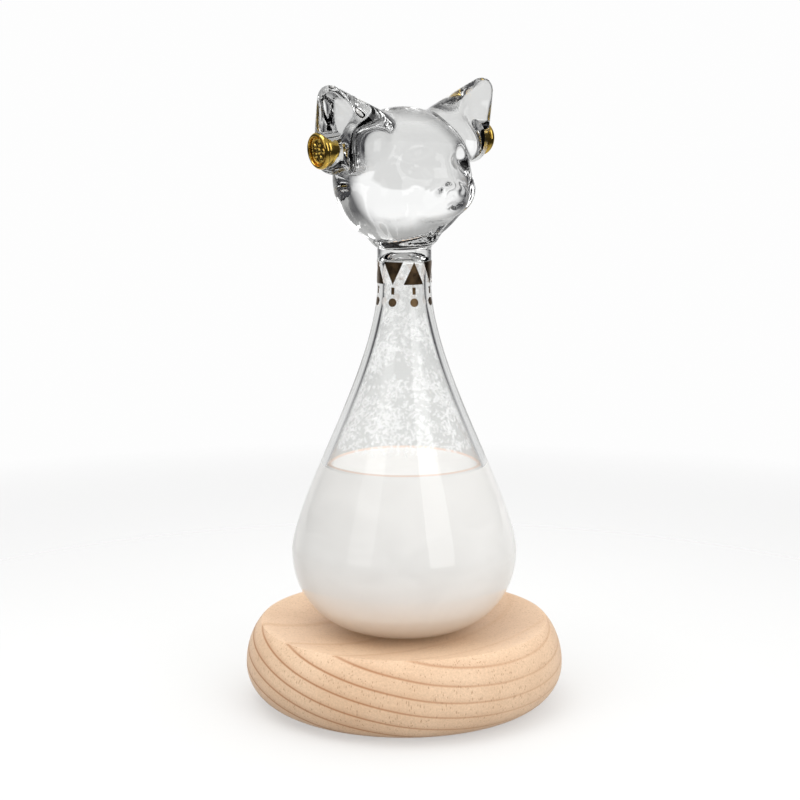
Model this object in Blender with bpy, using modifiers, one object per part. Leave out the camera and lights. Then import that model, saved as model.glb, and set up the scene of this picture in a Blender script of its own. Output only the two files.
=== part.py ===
"""A cat-headed storm glass: a sealed glass drop standing loose in a turned beech dish.

The glass is a blown bottle with a solid cat's head fused to its neck, two gilded ear studs and a gold
collar printed on the neck. Inside are the storm liquid, its settled crystals and the frost that has
grown on the wall above it. A silicone plug under a dab of sealant closes the filler hole.

Units are metres, +Z is up and the cat looks towards -Y. The origin is the middle of the base's underside.
"""

import math

import bmesh
import bpy
from mathutils import Matrix, Vector

# ---- driving dimensions ------------------------------------------------------------------------------
GAP = 0.0003                # between neighbouring solids that touch on the real object
TURN_STEPS = 36             # facets round the large turned pieces
SMALL_STEPS = 20            # and round the small ones

BASE_RADIUS = 0.035
BASE_HEIGHT = 0.018
BASE_WIDEST_Z = 0.0085      # where the side bulges most
BASE_FOOT_RADIUS = 0.026    # flat underside
RIM_RADIUS = 0.0315         # crest between the side and the dish
DISH_DEPTH = 0.0024
DISH_FLOOR_RADIUS = 0.009   # level middle of the dish
DISH_CURVE = 1.8            # power by which the dish rises to its rim
CREST_REACH = 0.009         # how far the upper side's curve reaches in from the widest ring

BULB_RADIUS = 0.0247
BULB_DROP = 0.0181          # from the widest ring down to the foot
BULB_FOOT_RADIUS = 0.0065   # ring that the bottle stands on
BULB_FULLNESS = 2.15        # 2 is an ellipse, more is squarer
NECK_RADIUS = 0.0058
BOTTLE_HEIGHT = 0.0851      # from the foot to the joint with the head
SHOULDER_HEIGHT = 0.058     # from the widest ring up to where the neck is straight
SHOULDER_START = 1.4        # power that holds the bulb full just above its widest ring
SHOULDER_TAIL = 1.72        # power that draws the shoulder out into the neck
WALL = 0.0015
PUNT_RADIUS = 0.0054        # recess under the bottle, round the filler hole
PUNT_HEIGHT = 0.0009
FILLER_RADIUS = 0.0034

LIQUID_LEVEL = 0.0371       # above the bottle's foot
BED_LEVEL = 0.0070          # settled crystals, above the bottle's foot
PLUG_FLANGE = 0.0007        # thickness of the lip in the recess, and of the sealant over it
PLUG_BARB = 0.0006          # how far the barb stands out past the filler hole
PLUG_TIP = 0.0022           # above the barb's step
FROST_THICKNESS = 0.0007
FROST_BOTTOM = 0.0406       # above the bottle's foot
FROST_TOP = 0.0795

HEAD_WIDTH = 0.0316
HEAD_DEPTH = 0.0284
HEAD_HEIGHT = 0.0302
HEAD_SINK = 0.0010          # how far the round head reaches below its joint with the neck
HEAD_ROLL = math.radians(-2.5)           # set by hand in the flame, so its left ear is a little higher
MUZZLE_RADII = (0.0085, 0.0092, 0.0060)
MUZZLE_REACH = 0.0080       # its middle, in front of the middle of the head
MUZZLE_DROP = 0.0040
EYE_RADII = (0.0036, 0.0030, 0.0026)
EYE_SPREAD = 0.0062
EYE_RISE = 0.0030
EYE_REACH = 0.0132          # its middle, in front of the middle of the head
EAR_CROWN = (0.0093, -0.0020, 0.0105)     # inner root of the left ear, from the middle of the head
EAR_CROWN_RADII = (0.0042, 0.0054, 0.0040)
EAR_TIP = (0.0219, -0.0028, 0.0177)
EAR_TIP_RADII = (0.0031, 0.0021, 0.0031)
EAR_LOBE = (0.0197, -0.0008, 0.0062)      # outer root, behind the stud
EAR_LOBE_RADII = (0.0042, 0.0042, 0.0048)
EAR_SWELL = (0.0125, -0.0018, 0.0070)    # where the ear flows into the head
EAR_SWELL_RADII = (0.0066, 0.0070, 0.0066)
CONCHA = (0.0172, -0.0094, 0.0128)       # hollow in the front of the ear
CONCHA_RADII = (0.0052, 0.0046, 0.0062)
STUB_LENGTH = 0.008         # of the neck's stub that the head is melted onto
HEAD_VOXEL = 0.0013

STUD_RADIUS = 0.0038
STUD_LENGTH = 0.0040
STUD_FACE_SPREAD = 0.0240   # middle of its outer face, from the middle of the head
STUD_RISE = 0.0068
STUD_SET_BACK = -0.0004
STUD_SWEEP = math.radians(7.5)   # turned back from straight out to the side
STUD_DROOP = math.radians(5.0)
STUD_RIM = 0.0008
STUD_EDGE = 0.0006          # rounding
STUD_RECESS = 0.0010
MEDALLION_THICKNESS = 0.0005

PRINT_CLEARANCE = 0.0001
PRINT_THICKNESS = 0.00015
PRINT_REPEATS = 8
BAND_TOP = 0.0814           # above the bottle's foot
BAND_HEIGHT = 0.0048
BAND_LEAF_ANGLE = math.radians(44.0)   # round the neck, at its broad end
TICK_WIDTH = 0.0007
TICK_HEIGHT = 0.0015
TICK_DROP = 0.0006          # below the band
DOT_RADIUS = 0.0009
DOT_DROP = 0.0038           # its middle, below the band

# ---- places that follow from them --------------------------------------------------------------------
FOOT_Z = BASE_HEIGHT - DISH_DEPTH + GAP
WIDEST_Z = FOOT_Z + BULB_DROP
JOINT_Z = FOOT_Z + BOTTLE_HEIGHT
LEVEL_Z = FOOT_Z + LIQUID_LEVEL
BED_Z = FOOT_Z + BED_LEVEL
HEAD_Z = JOINT_Z - HEAD_SINK + HEAD_HEIGHT / 2
BAND_Z = FOOT_Z + BAND_TOP


# ---- helpers -----------------------------------------------------------------------------------------
def clear_scene():
    for old in list(bpy.data.objects):
        bpy.data.objects.remove(old, do_unlink=True)


def new_collection(name, helper=False):
    made = bpy.data.collections.new(name)
    bpy.context.scene.collection.children.link(made)
    made.hide_render = helper
    return made


def new_material(name, colour, roughness, metallic=0.0, alpha=1.0):
    made = bpy.data.materials.new(name)
    made.use_nodes = True
    shader = made.node_tree.nodes["Principled BSDF"]
    shader.inputs["Base Color"].default_value = (*colour, 1.0)
    shader.inputs["Roughness"].default_value = roughness
    shader.inputs["Metallic"].default_value = metallic
    shader.inputs["Alpha"].default_value = alpha
    made.diffuse_color = (*colour, alpha)
    return made


def add_object(name, data, collection, material=None, parent=None):
    made = bpy.data.objects.new(name, data)
    collection.objects.link(made)
    if material:
        data.materials.append(material)
    made.parent = parent
    if collection.hide_render:
        made.hide_render = True
        made.display_type = "WIRE"
    return made


def turned(name, section, collection, material=None, parent=None, steps=TURN_STEPS):
    """A solid of revolution about its own Z axis. The section runs from the axis at the top, down the outer
    side, and ends on the axis again."""
    mesh = bpy.data.meshes.new(name)
    edges = [(i, i + 1) for i in range(len(section) - 1)]
    mesh.from_pydata([(r, 0.0, z) for r, z in section], edges, [])
    made = add_object(name, mesh, collection, material, parent)
    screw = made.modifiers.new("turn", "SCREW")
    screw.steps = screw.render_steps = steps
    screw.use_merge_vertices = True
    screw.merge_threshold = 0.00001
    screw.use_smooth_shade = True
    return made


def turned_ring(name, section, collection, material=None, parent=None):
    """As turned, for a section that closes on itself away from the axis."""
    return turned(name, [*section, section[0]], collection, material, parent)


def cut(obj, cutter, operation="DIFFERENCE"):
    boolean = obj.modifiers.new(cutter.name, "BOOLEAN")
    boolean.operation = operation
    boolean.object = cutter
    boolean.solver = "EXACT"


def arc(centre, radii, start, end, steps, power=2.0):
    """Points on a quarter of a superellipse, from angle start to end in degrees, with its far corner pulled
    out as power rises above 2."""
    points = []
    for i in range(steps + 1):
        angle = math.radians(start + (end - start) * i / steps)
        across = math.copysign(abs(math.cos(angle)) ** (2 / power), math.cos(angle))
        along = math.copysign(abs(math.sin(angle)) ** (2 / power), math.sin(angle))
        points.append((centre[0] + radii[0] * across, centre[1] + radii[1] * along))
    return points


def ball(centre, radii, segments=32):
    """A bmesh holding one ellipsoid."""
    made = bmesh.new()
    placing = Matrix.Translation(centre) @ Matrix.Diagonal((*radii, 1.0))
    bmesh.ops.create_uvsphere(made, u_segments=segments, v_segments=segments // 2, radius=1.0, matrix=placing)
    return made


def mesh_of(name, shape):
    mesh = bpy.data.meshes.new(name)
    shape.to_mesh(mesh)
    shape.free()
    return mesh


# ---- the bottle's outline, shared by everything in and on it -------------------------------------------
def skin_radius(z):
    """Outer radius of the bottle above its widest ring."""
    share = min(1.0, max(0.0, z - WIDEST_Z) / SHOULDER_HEIGHT)
    return NECK_RADIUS + (BULB_RADIUS - NECK_RADIUS) * (1 - share**SHOULDER_START) ** SHOULDER_TAIL


def inset_radius(z, depth):
    """Radius of the surface that lies depth inside the bottle's skin, at height z."""
    step = 0.0001
    slope = (skin_radius(z + step) - skin_radius(max(z - step, WIDEST_Z))) / (2 * step)
    return skin_radius(z) - depth * math.sqrt(1 + slope**2)


def bowl_radius(z, depth):
    """As inset_radius, for the bowl below the widest ring."""
    drop = min(1.0, max(0.0, WIDEST_Z - z) / (BULB_DROP - depth))
    reach = BULB_RADIUS - BULB_FOOT_RADIUS - depth
    return BULB_FOOT_RADIUS + reach * (1 - drop**BULB_FULLNESS) ** (1 / BULB_FULLNESS)


def shoulder(top, bottom, depth, steps):
    """Points down the bottle's shoulder, depth inside its skin."""
    heights = [top + (bottom - top) * i / steps for i in range(steps + 1)]
    return [(inset_radius(z, depth), z) for z in heights]


def bowl(depth, steps):
    """Points down the bottle's lower half, from under its widest ring to the foot, depth inside its skin."""
    reach = BULB_RADIUS - BULB_FOOT_RADIUS - depth
    points = arc((BULB_FOOT_RADIUS, WIDEST_Z), (reach, BULB_DROP - depth), 0, -90, steps, BULB_FULLNESS)
    return points[1:]


# ---- wooden base ---------------------------------------------------------------------------------------
def build_base(parts, wood):
    """A pebble-shaped disc with a wide shallow dish turned into its top."""
    floor_z = BASE_HEIGHT - DISH_DEPTH
    run = RIM_RADIUS - DISH_FLOOR_RADIUS
    dish = [(0.0, floor_z)]
    for i in range(9):
        share = i / 8
        dish.append((DISH_FLOOR_RADIUS + run * share, floor_z + DISH_DEPTH * share**DISH_CURVE))
    crest_angle = math.degrees(math.acos((RIM_RADIUS - BASE_RADIUS + CREST_REACH) / CREST_REACH))
    crest_rise = (BASE_HEIGHT - BASE_WIDEST_Z) / math.sin(math.radians(crest_angle))
    side = arc((BASE_RADIUS - CREST_REACH, BASE_WIDEST_Z), (CREST_REACH, crest_rise), crest_angle, 0, 8)
    under = arc((BASE_FOOT_RADIUS, BASE_WIDEST_Z), (BASE_RADIUS - BASE_FOOT_RADIUS, BASE_WIDEST_Z), 0, -90, 8)
    section = [*dish, *side[1:], *under[1:], (0.0, 0.0)]
    return turned("wooden_base", section, parts, wood)


# ---- glass bottle --------------------------------------------------------------------------------------
def build_bottle(parts, glass, parent):
    """The blown drop: one shell, open only at the filler hole in the recess under it."""
    floor_z = FOOT_Z + WALL
    skin = [(0.0, JOINT_Z), *shoulder(JOINT_Z, WIDEST_Z, 0.0, 14), *bowl(0.0, 7)]
    punt_z = FOOT_Z + PUNT_HEIGHT
    punt = [(PUNT_RADIUS, punt_z), (FILLER_RADIUS, punt_z), (FILLER_RADIUS, floor_z)]
    lining = [(0.0, JOINT_Z - WALL), *shoulder(JOINT_Z - WALL, WIDEST_Z, WALL, 13), *bowl(WALL, 7)]
    return turned("glass_bottle", [*skin, *punt, *reversed(lining)], parts, glass, parent)


def build_plug(parts, silicone, sealant, parent):
    """A silicone stopper pushed up through the filler hole, and the clear sealant that covers it."""
    shank = FILLER_RADIUS - GAP
    barb = FILLER_RADIUS + PLUG_BARB
    flange_top = FOOT_Z + PUNT_HEIGHT - GAP
    flange_bottom = flange_top - PLUG_FLANGE / 2
    barb_z = FOOT_Z + WALL + GAP
    tip_z = barb_z + PLUG_TIP
    section = [
        (0.0, tip_z),
        (0.75 * shank, tip_z),
        (barb, barb_z + PLUG_BARB),
        (barb, barb_z),
        (shank, barb_z),
        (shank, flange_top),
        (PUNT_RADIUS - 2 * GAP, flange_top),
        (PUNT_RADIUS - 2 * GAP, flange_bottom),
        (0.0, flange_bottom),
    ]
    turned("filler_plug", section, parts, silicone, parent, SMALL_STEPS)
    dab_top = flange_bottom - GAP / 6
    dab = [(0.0, dab_top), (PUNT_RADIUS - 2 * GAP, dab_top), (0.7 * PUNT_RADIUS, FOOT_Z), (0.0, FOOT_Z)]
    turned("plug_sealant", dab, parts, sealant, parent, SMALL_STEPS)
    return tip_z


# ---- what is in the bottle -----------------------------------------------------------------------------
def build_contents(parts, liquid, crystal, parent, plug_tip_z):
    """The clear liquid over a bed of settled crystals. The bed lies round the plug's tip."""
    depth = WALL + GAP
    floor_z = FOOT_Z + depth
    well_radius = FILLER_RADIUS + PLUG_BARB + GAP
    well_z = plug_tip_z + GAP
    steps = 5
    heights = [BED_Z + (floor_z - BED_Z) * i / steps for i in range(steps + 1)]
    bed_side = [(bowl_radius(z, depth), z) for z in heights]
    bed = [(0.0, BED_Z), *bed_side, (well_radius, floor_z), (well_radius, well_z), (0.0, well_z)]
    turned("settled_crystals", bed, parts, crystal, parent)

    low_z = BED_Z + GAP
    heights = [WIDEST_Z + (low_z - WIDEST_Z) * i / steps for i in range(1, steps + 1)]
    side = [(bowl_radius(z, depth), z) for z in heights]
    body = [(0.0, LEVEL_Z), *shoulder(LEVEL_Z, WIDEST_Z, depth, 5), *side, (0.0, low_z)]
    turned("storm_liquid", body, parts, liquid, parent)


def build_frost(parts, crystal, parent):
    """Crystals grown on the inside of the shoulder and neck, as a thin sleeve against the wall."""
    top, bottom = FOOT_Z + FROST_TOP, FOOT_Z + FROST_BOTTOM
    outside = shoulder(top, bottom, WALL + GAP, 8)
    inside = shoulder(top, bottom, WALL + GAP + FROST_THICKNESS, 8)
    return turned_ring("neck_frost", [*outside, *reversed(inside)], parts, crystal, parent)


# ---- cat's head ----------------------------------------------------------------------------------------
def head_frame():
    """The head's tilt, about the middle of its joint with the neck."""
    joint = Vector((0.0, 0.0, JOINT_Z))
    return Matrix.Translation(joint) @ Matrix.Rotation(HEAD_ROLL, 4, "Y") @ Matrix.Translation(-joint)


def stud_placing(side):
    """Where a stud's outer face lies on the upright head, with +Z pointing out of it."""
    outward = Vector((side * math.cos(STUD_SWEEP), math.sin(STUD_SWEEP), -math.sin(STUD_DROOP))).normalized()
    place = Vector((side * STUD_FACE_SPREAD, STUD_SET_BACK, HEAD_Z + STUD_RISE))
    return Matrix.Translation(place) @ outward.to_track_quat("Z", "Y").to_matrix().to_4x4()


def at_head(place, side=1):
    """A place given from the middle of the head, on the cat's left (side 1) or mirrored to its right."""
    return Vector((side * place[0], place[1], HEAD_Z + place[2]))


def ear_shape(side):
    """A blade of glass drawn out from the head: the convex hull of two rounded roots and a tip."""
    shape = bmesh.new()
    corners = ((EAR_CROWN, EAR_CROWN_RADII), (EAR_TIP, EAR_TIP_RADII), (EAR_LOBE, EAR_LOBE_RADII))
    for place, radii in corners:
        corner = ball(at_head(place, side), radii, 20)
        for v in corner.verts:
            shape.verts.new(v.co)
        corner.free()
    hull = bmesh.ops.convex_hull(shape, input=shape.verts[:])
    bmesh.ops.delete(shape, geom=hull["geom_interior"], context="VERTS")
    bmesh.ops.recalc_face_normals(shape, faces=shape.faces[:])
    return shape


def build_head(parts, cutters, glass, parent):
    """A solid glass head: skull, muzzle, ears and a stub of neck melted together, then trimmed flat at the
    joint and where each stud sits. All but the stub and the joint tilt with the head."""
    skull = ball(at_head((0, 0, 0)), (HEAD_WIDTH / 2, HEAD_DEPTH / 2, HEAD_HEIGHT / 2))
    head = add_object("glass_head", mesh_of("glass_head", skull), parts, glass, parent)
    head.matrix_local = head_frame()

    def work(name, shape, operation="DIFFERENCE", tilted=True):
        cutter = add_object(name, mesh_of(name, shape), cutters)
        if tilted:
            cutter.matrix_local = head_frame()
        cut(head, cutter, operation)

    work("muzzle", ball(at_head((0, -MUZZLE_REACH, -MUZZLE_DROP)), MUZZLE_RADII, 24), "UNION")
    for side, word in ((-1, "right"), (1, "left")):
        work(f"ear_{word}", ear_shape(side), "UNION")
        work(f"swell_{word}", ball(at_head(EAR_SWELL, side), EAR_SWELL_RADII, 20), "UNION")
        work(f"concha_{word}", ball(at_head(CONCHA, side), CONCHA_RADII, 20))
        work(f"eye_{word}", ball(at_head((EYE_SPREAD, -EYE_REACH, EYE_RISE), side), EYE_RADII, 16))
    stub = bmesh.new()
    bmesh.ops.create_cone(
        stub,
        cap_ends=True,
        segments=TURN_STEPS,
        radius1=NECK_RADIUS,
        radius2=1.3 * NECK_RADIUS,
        depth=STUB_LENGTH,
        matrix=Matrix.Translation((0.0, 0.0, JOINT_Z)),
    )
    work("stub", stub, "UNION", tilted=False)

    melt = head.modifiers.new("melt", "REMESH")
    melt.mode = "VOXEL"
    melt.voxel_size = HEAD_VOXEL
    melt.use_smooth_shade = True
    fire_polish = head.modifiers.new("fire_polish", "SMOOTH")
    fire_polish.factor = 0.5
    fire_polish.iterations = 4

    below = bmesh.new()
    trim = 3 * NECK_RADIUS
    bmesh.ops.create_cube(below, size=trim, matrix=Matrix.Translation((0.0, 0.0, JOINT_Z + GAP - trim / 2)))
    work("joint_plane", below, tilted=False)
    depth, reach = STUD_LENGTH + GAP, STUD_LENGTH
    width = STUD_RADIUS + GAP
    for side, word in ((-1, "right"), (1, "left")):
        seat = bmesh.new()
        place = stud_placing(side) @ Matrix.Translation((0.0, 0.0, (reach - depth) / 2))
        bmesh.ops.create_cone(
            seat,
            cap_ends=True,
            segments=32,
            radius1=width,
            radius2=width,
            depth=depth + reach,
            matrix=place,
        )
        work(f"stud_seat_{word}", seat)


def build_stud(parts, gold, parent, side, word):
    """A gilded cup with a rounded rim, and the embossed medallion set in it."""
    edge = STUD_EDGE
    inner = STUD_RADIUS - STUD_RIM
    section = [
        (0.0, -STUD_RECESS),
        (inner, -STUD_RECESS),
        (inner, -edge / 2),
        *arc((STUD_RADIUS - edge, -edge), (edge, edge), 90, 0, 3),
        *arc((STUD_RADIUS - edge, edge - STUD_LENGTH), (edge, edge), 0, -90, 3),
        (0.0, -STUD_LENGTH),
    ]
    cup = turned(f"earring_cup_{word}", section, parts, gold, parent, SMALL_STEPS)
    cup.matrix_local = head_frame() @ stud_placing(side)

    low = GAP - STUD_RECESS
    high = low + MEDALLION_THICKNESS
    radius = inner - GAP
    boss = 0.35 * radius
    section = [
        (0.0, high + 0.0002),
        (0.6 * boss, high + 0.00015),
        (boss, high - 0.0001),
        (0.75 * radius, high - 0.0001),
        (0.85 * radius, high),
        (radius, high - 0.0001),
        (radius, low),
        (0.0, low),
    ]
    medallion = turned(f"earring_medallion_{word}", section, parts, gold, parent, SMALL_STEPS)
    medallion.matrix_local = head_frame() @ stud_placing(side)


# ---- printed collar ------------------------------------------------------------------------------------
def prism(outline, depth):
    """A bmesh of a flat outline in the XZ plane, pulled through depth along -Y."""
    shape = bmesh.new()
    face = shape.faces.new([shape.verts.new((x, 0.0, z)) for x, z in outline])
    pulled = bmesh.ops.extrude_face_region(shape, geom=[face])
    moved = [v for v in pulled["geom"] if isinstance(v, bmesh.types.BMVert)]
    bmesh.ops.translate(shape, verts=moved, vec=(0.0, -depth, 0.0))
    bmesh.ops.recalc_face_normals(shape, faces=shape.faces[:])
    return shape


def build_collar(parts, cutters, gold, parent):
    """Gold leaves that point up and down in turn, with a tick and a dot under each, printed round the neck.
    Each island is a prism kept only where it meets a thin film on the glass."""
    film_low = BAND_Z - BAND_HEIGHT - DOT_DROP - 2 * DOT_RADIUS
    film_high = BAND_Z + 0.001
    inner = shoulder(film_high, film_low, -PRINT_CLEARANCE, 12)
    outer = shoulder(film_high, film_low, -PRINT_CLEARANCE - PRINT_THICKNESS, 12)
    film = turned_ring("print_film", [*outer, *reversed(inner)], cutters)

    half_leaf = NECK_RADIUS * math.sin(BAND_LEAF_ANGLE / 2)
    low, high = BAND_Z - BAND_HEIGHT, BAND_Z
    tick_top = low - TICK_DROP
    tip = PRINT_CLEARANCE
    leaf_down = [(-half_leaf, high), (half_leaf, high), (tip, low), (-tip, low)]
    leaf_up = [(-half_leaf, low), (half_leaf, low), (tip, high), (-tip, high)]
    tick = [
        (-TICK_WIDTH / 2, tick_top),
        (TICK_WIDTH / 2, tick_top),
        (TICK_WIDTH / 2, tick_top - TICK_HEIGHT),
        (-TICK_WIDTH / 2, tick_top - TICK_HEIGHT),
    ]
    angles = [2 * math.pi * i / 16 for i in range(16)]
    dot = [(DOT_RADIUS * math.cos(a), low - DOT_DROP + DOT_RADIUS * math.sin(a)) for a in angles]
    for i in range(PRINT_REPEATS):
        turn = Matrix.Rotation(2 * math.pi * (i + 0.5) / PRINT_REPEATS, 4, "Z")
        leaf = leaf_up if i % 2 else leaf_down
        for name, outline in (("collar_leaf", leaf), ("collar_tick", tick), ("collar_dot", dot)):
            label = f"{name}_{i + 1}"
            island = add_object(label, mesh_of(label, prism(outline, 2 * NECK_RADIUS)), parts, gold, parent)
            island.matrix_local = turn
            cut(island, film, "INTERSECT")


# ---- assembly ------------------------------------------------------------------------------------------
def main():
    clear_scene()
    parts = new_collection("storm_glass")
    cutters = new_collection("cutters", helper=True)

    wood = new_material("beech", (0.80, 0.60, 0.42), 0.55)
    glass = new_material("clear_glass", (0.92, 0.94, 0.94), 0.03, alpha=0.35)
    liquid = new_material("storm_liquid", (0.88, 0.87, 0.86), 0.15, alpha=0.6)
    crystal = new_material("camphor_crystal", (0.95, 0.95, 0.95), 0.5, alpha=0.8)
    silicone = new_material("silicone", (0.85, 0.85, 0.83), 0.45)
    sealant = new_material("sealant", (0.80, 0.80, 0.76), 0.2, alpha=0.7)
    gold = new_material("gilding", (0.83, 0.61, 0.22), 0.15, metallic=1.0)
    print_gold = new_material("printed_gold", (0.42, 0.27, 0.12), 0.25, metallic=1.0)

    axis = add_object("bottle_axis", None, parts)
    build_base(parts, wood)
    build_bottle(parts, glass, axis)
    plug_tip_z = build_plug(parts, silicone, sealant, axis)
    build_contents(parts, liquid, crystal, axis, plug_tip_z)
    build_frost(parts, crystal, axis)
    build_head(parts, cutters, glass, axis)
    for side, word in ((-1, "right"), (1, "left")):
        build_stud(parts, gold, axis, side, word)
    build_collar(parts, cutters, print_gold, axis)


main()
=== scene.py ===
# %% [markdown]
# # A cat-headed storm glass
#
# A storm glass is a sealed glass drop holding water, alcohol, camphor and two salts. As the weather turns,
# feathery camphor crystals grow on the wall and settle again. This one stands loose in a turned beech dish.
# A lampworker has melted a solid cat's head onto its neck, gilded studs sit on the ears, and a gold collar
# is fired onto the neck.
#
# The lesson dresses a finished mechanical frame. The frame fixes every size and joint, and each cell here
# makes one piece finer or gives it its finish.

# %% Load the frame
import math

import bmesh
import bpy
import numpy as np
from mathutils import Matrix, Vector


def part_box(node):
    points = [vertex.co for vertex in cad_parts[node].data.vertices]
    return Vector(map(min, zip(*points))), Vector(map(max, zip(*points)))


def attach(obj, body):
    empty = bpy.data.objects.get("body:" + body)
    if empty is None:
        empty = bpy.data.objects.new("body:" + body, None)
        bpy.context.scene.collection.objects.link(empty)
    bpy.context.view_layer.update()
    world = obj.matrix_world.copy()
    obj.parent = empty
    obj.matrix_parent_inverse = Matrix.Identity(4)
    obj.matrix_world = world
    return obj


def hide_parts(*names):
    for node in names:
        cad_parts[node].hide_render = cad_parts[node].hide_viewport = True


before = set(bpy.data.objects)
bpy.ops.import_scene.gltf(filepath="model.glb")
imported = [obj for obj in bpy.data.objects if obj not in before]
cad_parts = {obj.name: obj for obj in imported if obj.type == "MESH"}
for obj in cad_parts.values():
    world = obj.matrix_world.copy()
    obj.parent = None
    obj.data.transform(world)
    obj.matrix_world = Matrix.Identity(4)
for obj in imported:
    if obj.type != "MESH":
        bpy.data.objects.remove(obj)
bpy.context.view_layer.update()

MM = 0.001

# %% [markdown]
# ## Sizes
#
# Every size comes from the frame's boxes, so a change to the frame carries through. A box is the lowest and
# highest corner of one node at rest.


# %% Read the sizes that the pieces share
def low(node):
    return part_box(node)[0]


def high(node):
    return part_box(node)[1]


BASE_RADIUS = high("wooden_base")[0]
BASE_HEIGHT = high("wooden_base")[2]
BULB_RADIUS = high("glass_bottle")[0]
FOOT_Z = low("glass_bottle")[2]
JOINT_Z = high("glass_bottle")[2]
LEVEL_Z = high("storm_liquid")[2]
BED_Z = high("settled_crystals")[2]
FROST_LOW, FROST_HIGH = low("neck_frost")[2], high("neck_frost")[2]
HEAD_TOP_Z = high("glass_head")[2]
BAND_HIGH, BAND_LOW = high("collar_leaf_1")[2], low("collar_leaf_1")[2]

BULB_DROP = 18.1 * MM       # from the widest ring down to the foot
BULB_FOOT_RADIUS = 6.5 * MM
BULB_FULLNESS = 2.15        # 2 is an ellipse, more is squarer
SHOULDER_HEIGHT = 58.0 * MM
NECK_RADIUS = 5.8 * MM
WALL = 1.5 * MM
STUD_RADIUS = 3.8 * MM
STUD_LENGTH = 4.0 * MM
WIDEST_Z = FOOT_Z + BULB_DROP
HEAD_Z = JOINT_Z + 14.1 * MM
ROUND_STEPS = 144
print(f"glass {(HEAD_TOP_Z - FOOT_Z) / MM:.1f} mm tall on a base {2 * BASE_RADIUS / MM:.0f} mm wide")

# %% [markdown]
# ## Camera, floor and light
#
# Clear glass shows its surroundings and little else, so the light comes before the shapes. The world is a
# small studio: a white wall behind the glass, dark at its sides and on the near half of the table, and grey
# overhead. That darkness, bent through the glass, is what draws the edges of the head and the neck. Matt
# surfaces would look dull in so dark a room, so diffuse rays see a plain fill instead, brighter above and
# on the right. Two weak soft boxes in front give the long upright reflections on the bulb, and a third
# hangs above. The floor is pale and fades out round the base.

# %% Camera
CAMERA_YAW = math.radians(-43.0)
CAMERA_DISTANCE = 382.7 * MM
CAMERA_HEIGHT = 130.5 * MM
CAMERA_PITCH = math.radians(9.45)
CAMERA_AIM = math.radians(0.14)
CAMERA_LENS = 80.2          # millimetres


def around(yaw, distance, height):
    """A place at that yaw from straight in front of the cat."""
    return Vector((distance * math.sin(yaw), -distance * math.cos(yaw), height))


camera_data = bpy.data.cameras.new("camera")
camera_data.lens = CAMERA_LENS
camera_data.clip_start = 10.0 * MM
camera = bpy.data.objects.new("camera", camera_data)
camera.location = around(CAMERA_YAW, CAMERA_DISTANCE, CAMERA_HEIGHT)
camera.rotation_euler = (math.pi / 2 - CAMERA_PITCH, 0.0, CAMERA_YAW + CAMERA_AIM)
bpy.context.scene.collection.objects.link(camera)
bpy.context.scene.camera = camera
print("camera", [round(v, 3) for v in camera.location])


# %% Node helpers
def add_node(tree, kind, **inputs):
    """A node with its inputs set by name. A spaced name is written with underscores."""
    node = tree.nodes.new(kind)
    for name, value in inputs.items():
        node.inputs[name.replace("_", " ")].default_value = value
    return node


def ramp(tree, factor, stops):
    """A colour ramp. Each stop is a place from 0 to 1 and a grey or an RGB colour."""
    node = tree.nodes.new("ShaderNodeValToRGB")
    elements = node.color_ramp.elements
    while len(elements) < len(stops):
        elements.new(0.5)
    for element, (place, colour) in zip(elements, stops):
        element.position = place
        shade = (colour,) * 3 if isinstance(colour, (int, float)) else colour
        element.color = (*shade, 1.0)
    tree.links.new(factor, node.inputs["Fac"])
    return node.outputs["Color"]


def blend_colours(tree, factor, first, second, blend="MIX"):
    """A colour mix. Each argument may be an output to link or a plain value."""
    node = tree.nodes.new("ShaderNodeMix")
    node.data_type = "RGBA"
    node.blend_type = blend
    for index, value in ((0, factor), (6, first), (7, second)):
        if hasattr(value, "links"):
            tree.links.new(value, node.inputs[index])
        elif index == 0:
            node.inputs[0].default_value = value
        else:
            node.inputs[index].default_value = (*value, 1.0) if len(value) == 3 else value
    return node.outputs[2]


def map_range(tree, value, start, end, least=0.0, most=1.0):
    """Carries a value from start and end to least and most, and holds it there outside them."""
    node = tree.nodes.new("ShaderNodeMapRange")
    for name, number in zip(("From Min", "From Max", "To Min", "To Max"), (start, end, least, most)):
        node.inputs[name].default_value = number
    tree.links.new(value, node.inputs["Value"])
    return node.outputs[0]


def split_xyz(tree, vector):
    node = tree.nodes.new("ShaderNodeSeparateXYZ")
    tree.links.new(vector, node.inputs[0])
    return node.outputs


# %% World: white behind the glass, dark at its sides
WHITE_WALL = (1.0, 1.0, 1.0)
DARK_SIDE = (0.06, 0.06, 0.065)
CEILING = (0.42, 0.42, 0.415)
TABLE_NEAR, TABLE_FAR = (0.04, 0.04, 0.045), (0.76, 0.76, 0.755)
BACKDROP = (0.985, 0.985, 0.985)        # what the camera itself sees
FILL_BELOW, FILL_ABOVE = 0.66, 1.82
FILL_LEFT, FILL_RIGHT = 0.78, 1.22

world = bpy.data.worlds.new("studio")
bpy.context.scene.world = world
world.use_nodes = True
sky = world.node_tree
where = sky.nodes.new("ShaderNodeTexCoord")
turned_sky = add_node(sky, "ShaderNodeMapping", Rotation=(0, 0, -CAMERA_YAW))
sky.links.new(where.outputs["Generated"], turned_sky.inputs["Vector"])
rightward, backward, upward = split_xyz(sky, turned_sky.outputs["Vector"])

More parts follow.
